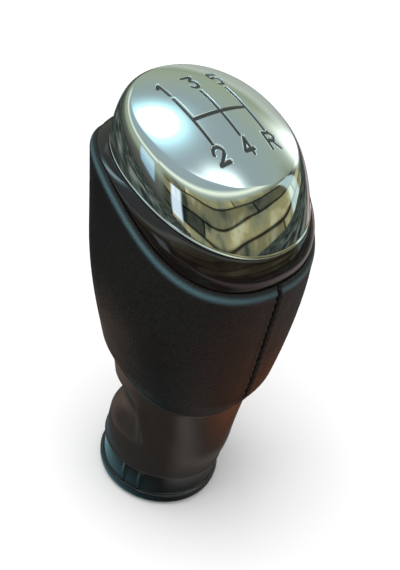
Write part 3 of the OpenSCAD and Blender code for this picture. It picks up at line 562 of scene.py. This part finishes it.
class Nodes:
    """Adds nodes to a tree. A value that is a socket is linked, and any other value is set."""

    def __init__(self, tree, coordinates="Object"):
        self.tree = tree
        self.shader = tree.nodes.get("Principled BSDF")
        self.place = tree.nodes.new("ShaderNodeTexCoord").outputs[coordinates]

    def put(self, socket, value):
        if hasattr(value, "links"):
            self.tree.links.new(value, socket)
        else:
            socket.default_value = value

    def add(self, kind, *values, **named):
        """A node with its first inputs by order, and its settings and further inputs by name."""
        node = self.tree.nodes.new(kind)
        for i, value in enumerate(values):
            self.put(node.inputs[i], value)
        for key, value in named.items():
            if key in node.inputs:
                self.put(node.inputs[key], value)
            else:
                setattr(node, key, value)
        return node

    def surface(self, **sockets):
        """Links the shader's inputs; an underscore in a name stands for a space."""
        for key, value in sockets.items():
            self.put(self.shader.inputs[key.replace("_", " ")], value)

    def noise(self, scale, detail=3.0, roughness=0.5, out="Fac"):
        return self.add("ShaderNodeTexNoise", Vector=self.place, Scale=scale, Detail=detail,
                        Roughness=roughness).outputs[out]

    def math(self, operation, *values):
        return self.add("ShaderNodeMath", *values, operation=operation).outputs[0]

    def vector(self, operation, *values, out="Vector"):
        return self.add("ShaderNodeVectorMath", *values, operation=operation).outputs[out]

    def span(self, value, low, high, out_low=0, out_high=1, **settings):
        limits = {"From Min": low, "From Max": high, "To Min": out_low, "To Max": out_high}
        return self.add("ShaderNodeMapRange", clamp=True, Value=value, **limits, **settings).outputs["Result"]

    def ramp(self, value, stops):
        n = self.add("ShaderNodeValToRGB", value)
        while len(n.color_ramp.elements) < len(stops):
            n.color_ramp.elements.new(0.5)
        for e, (pos, color) in zip(n.color_ramp.elements, stops):
            e.position = pos
            e.color = (*color, 1)
        return n.outputs["Color"]

    def mix(self, factor, a, b, data="RGBA", blend="MIX"):
        return self.add("ShaderNodeMix", data_type=data, blend_type=blend, Factor=factor, A=a,
                        B=b).outputs["Result"]

    def bump(self, height, strength, distance, **normal):
        return self.add("ShaderNodeBump", Strength=strength, Distance=distance, Height=height,
                        **normal).outputs["Normal"]


def chrome_material():
    mat = material("chrome", (0.79, 0.81, 0.80), 0.04, metallic=1.0)
    n = Nodes(mat.node_tree)
    n.surface(Roughness=n.span(n.noise(220, 4, 0.6), 0.35, 0.75, 0.025, 0.07),
              Normal=n.bump(n.noise(90, 2, 0.4), 0.05, 0.0002))
    return mat


def gloss_material(name, color, dust, roughness=0.07, coat=0.3):
    mat = material(name, color, roughness, coat=coat, coat_roughness=0.03)
    n = Nodes(mat.node_tree)
    n.surface(Roughness=n.span(n.noise(900, 5, 0.65), 0.4, 0.8, roughness, roughness + 0.08),
              Base_Color=n.ramp(n.noise(260, 4, 0.6), [(0.35, color), (0.8, dust)]),
              Normal=n.bump(n.noise(140, 2, 0.4), 0.04, 0.0002))
    return mat


def leather_material():
    mat = material("leather", (0.011, 0.0105, 0.0105), 0.42, specular=0.27)
    n = Nodes(mat.node_tree)
    # Grain: small warped cells, finer grain on them, and wide soft dents
    place = n.vector("MULTIPLY_ADD", n.noise(500, 2, out="Color"), (0.0009, 0.0009, 0.0009), n.place)
    cells = n.add("ShaderNodeTexVoronoi", feature="DISTANCE_TO_EDGE", Scale=1500.0, Vector=place)
    pebble = n.span(cells.outputs["Distance"], 0.0, 0.28)
    normal = n.bump(n.noise(70, 3, 0.5), 0.25, 0.0008)
    normal = n.bump(pebble, 0.5, 0.00016, Normal=normal)
    normal = n.bump(n.noise(5200, 3, 0.6), 0.16, 0.00006, Normal=normal)
    color = n.ramp(n.noise(45, 4, 0.6), [(0.3, (0.009, 0.0085, 0.0083)), (0.7, (0.0135, 0.0125, 0.0122))])
    shade = n.ramp(pebble, [(0.0, (0.55, 0.55, 0.55)), (0.5, (1, 1, 1))])
    # The fold at the upper edge is stretched and polished, so it is smoother; its lighter teal colour is a painted
    # highlight
    polish_and_painted_highlight = n.add("ShaderNodeAttribute", attribute_name="polish_and_painted_highlight").outputs["Fac"]
    n.surface(Normal=normal,
              Base_Color=n.mix(polish_and_painted_highlight, n.mix(1.0, color, shade, blend="MULTIPLY"), (0.056, 0.11, 0.126, 1)),
              Roughness=n.mix(polish_and_painted_highlight, n.span(n.noise(240, 5, 0.62), 0.3, 0.75, 0.38, 0.5), 0.3, data="FLOAT"))
    return mat


def neck_material():
    mat = material("satin_plastic", (0.02, 0.016, 0.014), 0.3, coat=0.12, coat_roughness=0.35)
    n = Nodes(mat.node_tree)
    n.surface(Normal=n.bump(n.noise(5200, 3, 0.6), 0.12, 0.00005),
              Roughness=n.span(n.noise(160, 4, 0.6), 0.3, 0.75, 0.27, 0.36),
              Base_Color=n.ramp(n.noise(60, 4, 0.6), [(0.3, (0.018, 0.0145, 0.0125)), (0.75, (0.024, 0.019, 0.0165))]))
    return mat


def plain_material(name, color, roughness, metallic=0.0, scale=1200, bump=0.1, specular=0.5):
    mat = material(name, color, roughness, metallic=metallic, specular=specular)
    n = Nodes(mat.node_tree)
    low, high = [tuple(c * k for c in color) for k in (0.88, 1.1)]
    n.surface(Base_Color=n.ramp(n.noise(scale / 4, 4, 0.6), [(0.3, low), (0.7, high)]),
              Roughness=n.span(n.noise(scale / 3, 3, 0.6), 0.3, 0.75, roughness * 0.85, min(1, roughness * 1.2)),
              Normal=n.bump(n.noise(scale, 4, 0.6), bump, 0.0001))
    return mat


def thread_material():
    mat = material("thread", (0.004, 0.004, 0.0045), 0.8, specular=0.2)
    n = Nodes(mat.node_tree)
    twist = n.add("ShaderNodeTexWave", Scale=900.0, Distortion=2.0, Vector=n.place).outputs["Fac"]
    n.surface(Normal=n.bump(twist, 0.5, 0.0001),
              Base_Color=n.ramp(n.noise(2000), [(0.3, (0.003, 0.003, 0.0034)), (0.7, (0.007, 0.007, 0.0075))]))
    return mat


def dress(obj, mat, node):
    obj.data.materials.clear()
    obj.data.materials.append(mat)
    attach(obj, "root")
    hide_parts(node)


cap, enamel = make_cap()
dress(cap, chrome_material(), "chrome_cap")
dress(enamel, plain_material("enamel", (0.018, 0.02, 0.024), 0.3, scale=1600, bump=0.15), "shift_pattern")
dress(make_collar(), gloss_material("collar_gloss", (0.006, 0.0035, 0.003), (0.01, 0.006, 0.0055)), "upper_collar")
leather = make_leather()
dress(leather, leather_material(), "leather_cover")
dress(make_stitches(), thread_material(), "seam_thread")
dress(make_neck(), neck_material(), "neck_shell")
dress(make_ring(), gloss_material("ring_gloss", (0.004, 0.0055, 0.0065), (0.008, 0.0095, 0.0105), 0.1, coat=0.7),
      "base_ring")

# Hidden pieces keep their CAD shape
INNER = {
    "collar_screws": plain_material("screw_steel", (0.5, 0.51, 0.52), 0.35, metallic=1.0),
    "foam_pad": plain_material("foam", (0.22, 0.22, 0.21), 0.95, scale=2600, bump=0.5, specular=0.2),
    "grip_core": plain_material("core_plastic", (0.055, 0.055, 0.06), 0.5, scale=2400),
    "lever_bush": plain_material("nylon", (0.62, 0.59, 0.5), 0.42, scale=1500),
    "bush_clip": plain_material("spring_steel", (0.45, 0.45, 0.46), 0.3, metallic=1.0),
}
for node, mat in INNER.items():
    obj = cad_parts[node]
    for s in obj.material_slots:
        s.material = mat
    if not obj.material_slots:
        obj.data.materials.append(mat)

# ---------------------------------------------------------------- floor
# In reflections the pale floor is a dimmer table top, cool at one side and warm at the other, with painted light on
# it: pale bands that the neck reflects as highlights, a teal patch by the ring's foot that the ring's gloss reflects,
# and a pinkish stretch far off at the right. ACROSS_TABLE is the direction of that change. Each zone has its ramp, and
# the distances between which it fades, in m.
PALE, BOUNCED, FLOOR_HALF = (0.86, 0.86, 0.86), (0.4, 0.39, 0.38, 1), 3000.0
ACROSS_TABLE = (0.605, -0.796, 0)
NEAR_SPAN, NEAR_FADE = 0.03, (0.019, 0.024)
# The teal in this ramp is painted light, for the base ring's gloss to reflect
NEAR_RAMP = [(0.2, (0.26, 0.52, 0.6)), (0.45, (0.06, 0.15, 0.175)), (0.6, (0.04, 0.038, 0.035)),
             (0.85, (0.2, 0.19, 0.18))]
TABLE_SPAN, TABLE_FADE = 0.12, (0.056, 0.08)
# The pale bands in this ramp are painted light, which the neck reflects as its highlights
TABLE_AND_LIGHT_BANDS_RAMP = [(0.14, (0.12, 0.085, 0.07)), (0.24, (0.42, 0.32, 0.27)), (0.33, (0.42, 0.32, 0.27)),
              (0.39, (0.07, 0.055, 0.045)), (0.52, (0.06, 0.052, 0.047)), (0.555, (0.52, 0.49, 0.47)),
              (0.58, (0.52, 0.49, 0.47)), (0.63, (0.08, 0.06, 0.05)), (0.71, (0.7, 0.22, 0.08))]
FAR_RAMP = [(0.38, (0.018, 0.026, 0.026)), (0.5, (0.05, 0.065, 0.058)), (0.64, (0.17, 0.2, 0.17))]
# A pinkish stretch of the far floor at the right: painted light that the chrome reflects
WARM_STRETCH, WARM_COLOR = (0.07, 0.3), (0.45, 0.36, 0.36, 1)
WARM_RAMP = [(0, (0, 0, 0)), (0.2, (1, 1, 1)), (0.3, (1, 1, 1)), (0.6, (0, 0, 0))]
WHITE_FROM, WHITE_AT = 0.2, 0.5


def make_floor():
    r = FLOOR_HALF
    floor = new_object("floor", [[-r, -r, 0], [r, -r, 0], [r, r, 0], [-r, r, 0]], [(0, 1, 2, 3)], smooth=False)
    mat = material("floor", PALE, 1.0, specular=0.0)
    n = Nodes(mat.node_tree)
    side = n.vector("DOT_PRODUCT", n.place, ACROSS_TABLE, out="Value")
    reach = n.vector("LENGTH", n.place, out="Value")
    # Seen only in reflections, these ramps hold painted light bands
    table_and_light_bands = n.ramp(n.span(side, -TABLE_SPAN, TABLE_SPAN), TABLE_AND_LIGHT_BANDS_RAMP)
    near = n.ramp(n.span(side, -NEAR_SPAN, NEAR_SPAN), NEAR_RAMP)
    far = n.mix(n.ramp(n.span(side, *WARM_STRETCH), WARM_RAMP), n.ramp(n.noise(9, 2), FAR_RAMP), WARM_COLOR)
    mirrored = n.mix(n.span(reach, *TABLE_FADE), n.mix(n.span(reach, *NEAR_FADE), near, table_and_light_bands), far)
    paths = n.add("ShaderNodeLightPath").outputs
    shown = n.mix(paths["Is Glossy Ray"], (*PALE, 1), mirrored)
    n.surface(Base_Color=n.mix(paths["Is Diffuse Ray"], shown, BOUNCED), Emission_Color=(1, 1, 1, 1),
              # Far from the object the floor turns into the white background
              Emission_Strength=n.math("MULTIPLY", n.span(reach, WHITE_FROM, WHITE_AT), paths["Is Camera Ray"]))
    floor.data.materials.append(mat)


# ---------------------------------------------------------------- world
# A plain room, seen only in reflections. Directions are unit vectors, heights their z, and turns degrees.
ROOM_RAMP = [(0.0, (0.03, 0.03, 0.03)), (0.5, (0.08, 0.085, 0.08)), (0.6, (0.14, 0.16, 0.13)),
             (0.69, (0.36, 0.44, 0.32)), (0.78, (0.37, 0.46, 0.39)), (0.86, (0.34, 0.44, 0.45)),
             (1.0, (0.36, 0.46, 0.5))]
SHELVES = {"Color1": (0.46, 0.45, 0.3, 1), "Color2": (0.035, 0.05, 0.05, 1), "Mortar": (0.012, 0.014, 0.013, 1),
           "Mortar Size": 0.026, "Mortar Smooth": 0.9, "Brick Width": 1.9, "Row Height": 0.19}
SHELF_SWAY = (0.5, 0.22, 0)
SHELF_SHADE = [(0.33, (0.16, 0.2, 0.22)), (0.46, (0.62, 0.66, 0.62)), (0.57, (0.86, 0.8, 0.6)),
               (0.68, (1.4, 1.44, 1.32))]
CEILING_LIGHT = (0.3, 0.3, 0.905)
# Lights that fade away from a direction: direction, sharpness, color
BEAMS = ((CEILING_LIGHT, 80, (1.5, 2.9, 3.3)), ((0.49, -0.25, 0.835), 280, (2.2, 2.6, 2.6)),
         ((0.4, -0.19, 0.9), 280, (1.2, 1.5, 1.5)), ((0.26, -0.2, 0.94), 300, (0.9, 1.1, 1.1)),
         ((0.95, 0.07, 0.3), 130, (2.6, 2.8, 2.8)))
GLOW_RADIUS, GLOW_SOFT, GLOW_COLOR = 5, 4, (1.6, 1.6, 1.6)
# Panels on the walls: from turn, to turn, from height, to height, color, softness
PANELS = ((-180, -22, 0.64, 0.73, (0.66, 0.7, 0.52), 0.05), (62, 180, 0.6, 0.7, (0.6, 0.64, 0.5), 0.05),
          (155, 174, 0.12, 0.52, (0.24, 0.42, 0.62), 0.03), (-28, -14, -0.1, 0.5, (0.42, 0.58, 0.62), 0.03),
          (-163, -150, 0.02, 0.42, (0.75, 0.9, 1.05), 0.03), (8, 50, 0.02, 0.3, (0.34, 0.38, 0.36), 0.06))
DIFFUSE_STRENGTH, WHITE = 0.7, (1, 1, 1, 1)


def make_world():
    world = bpy.data.worlds.new("studio")
    bpy.context.scene.world = world
    world.use_nodes = True
    world.cycles.sampling_method = "NONE"
    world.node_tree.nodes.clear()
    n = Nodes(world.node_tree, "Generated")
    parts = n.add("ShaderNodeSeparateXYZ", n.place).outputs
    height = parts["Z"]
    turn = n.math("ARCTAN2", parts["Y"], parts["X"])

    def step(value, low, high):
        return n.span(value, low, high, interpolation_type="SMOOTHSTEP")

    def tinted(mask, color):
        return n.add("ShaderNodeVectorMath", color, operation="SCALE", Scale=mask).outputs["Vector"]

    def facing(toward):
        return n.vector("DOT_PRODUCT", n.place, Vector(toward).normalized(), out="Value")

    def beam(toward, sharpness, color):
        return tinted(n.math("POWER", n.math("MAXIMUM", facing(toward), 0.0), sharpness), color)

    def glow(toward, radius, soft, color):
        return tinted(step(facing(toward), math.cos(math.radians(radius + soft)),
                           math.cos(math.radians(radius - soft))), color)

    def panel(left, right, low, high, color, soft):
        a, b = math.radians(left), math.radians(right)
        wide = n.math("MULTIPLY", step(turn, a - soft, a + soft), step(turn, b + soft, b - soft))
        tall = n.math("MULTIPLY", step(height, low - soft, low + soft), step(height, high + soft, high - soft))
        return tinted(n.math("MULTIPLY", wide, tall), color)

    room = n.ramp(n.span(height, -1, 1), ROOM_RAMP)
    # Shelves along the walls, on the driver's side only
    flat = n.add("ShaderNodeCombineXYZ", turn, height).outputs[0]
    sway = n.vector("MULTIPLY_ADD", n.noise(1.3, 0, out="Color"), SHELF_SWAY, flat)
    shelves = n.add("ShaderNodeTexBrick", offset=0.37, squash=0.6, squash_frequency=3, Vector=sway, Scale=1.0,
                    **SHELVES).outputs["Color"]
    stocked = n.vector("MULTIPLY", shelves, n.ramp(n.noise(3.2), SHELF_SHADE))
    walls = n.mix(step(height, 0.62, 0.5), room, stocked)
    look = n.mix(step(parts["Y"], 0.0, -0.2), room, walls)
    lights = [beam(*b) for b in BEAMS] + [glow(CEILING_LIGHT, GLOW_RADIUS, GLOW_SOFT, GLOW_COLOR)]
    for light in lights + [panel(*p) for p in PANELS]:
        look = n.vector("ADD", look, light)

    def background(color, strength):
        return n.add("ShaderNodeBackground", Color=color, Strength=strength).outputs[0]

    # Glossy rays see the room, the camera and clear pieces plain white, and the rest an even light
    paths = n.add("ShaderNodeLightPath").outputs
    seen = n.math("MAXIMUM", paths["Is Camera Ray"], paths["Is Transmission Ray"])
    lit = n.add("ShaderNodeMixShader", paths["Is Glossy Ray"], background(WHITE, DIFFUSE_STRENGTH),
                background(look, 1.0)).outputs[0]
    n.add("ShaderNodeOutputWorld",
          n.add("ShaderNodeMixShader", seen, lit, background(WHITE, 1.0)).outputs[0])


# ---------------------------------------------------------------- lamps
# Place, target, size, power, color
LAMPS = {"key": ((-0.15, 0.1, 0.75), (0, 0, 0.05), 0.5, 4.0, (1, 1, 1)),
         "side": ((-0.55, -0.35, 0.35), (0, 0, 0.05), 0.4, 1.0, (0.96, 0.99, 1.0)),
         "warm": ((0.45, -0.35, 0.06), (0, 0, 0.02), 0.25, 0.3, (1.0, 0.58, 0.4))}


def lamp(name, place, target, size, power, color):
    data = bpy.data.lights.new(name, "AREA")
    data.shape = "RECTANGLE"
    data.size = data.size_y = size
    data.energy = power
    data.color = color
    obj = bpy.data.objects.new(name, data)
    obj.location = place
    obj.visible_glossy = False
    obj.rotation_euler = (Vector(target) - Vector(place)).to_track_quat("-Z", "Y").to_euler()
    bpy.context.collection.objects.link(obj)


make_floor()
make_world()
for name, settings in LAMPS.items():
    lamp(name, *settings)
bpy.context.scene.view_settings.view_transform = "Standard"
